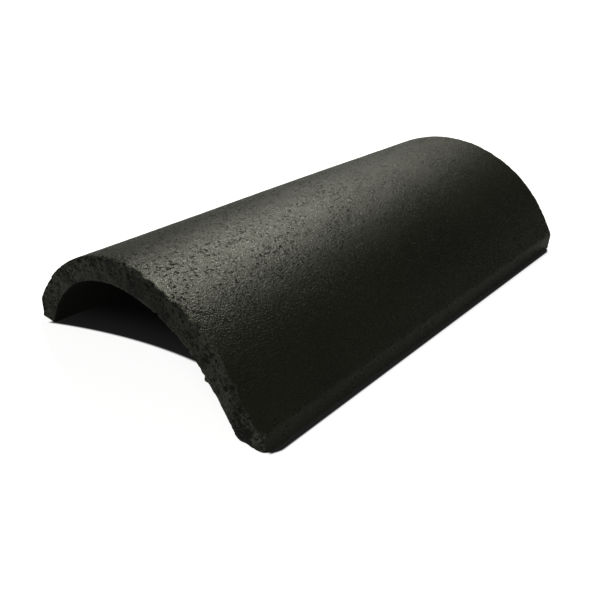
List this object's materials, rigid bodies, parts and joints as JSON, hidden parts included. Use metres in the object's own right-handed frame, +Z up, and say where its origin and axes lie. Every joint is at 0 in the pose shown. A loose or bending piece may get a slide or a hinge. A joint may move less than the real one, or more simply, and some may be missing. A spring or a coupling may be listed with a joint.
{
  "type": "segmental ridge tile",
  "caption": "Charcoal concrete ridge tile: a straight length of shallow arch, open underneath, that caps the ridge of a roof.",
  "frame": {"origin": "centre of the footprint, on the plane that the two feet stand on", "axes": "+Y along the tile's length from the front end to the back end, +Z up through the crown, +X towards the foot with the worn front corner"},
  "size_m": [0.25, 0.45, 0.092],
  "materials": {
    "concrete": "matt, sandy, slightly satin on the crown"
  },
  "bodies": {
    "root": {"ridge_tile": "concrete"}
  },
  "joints": []
}
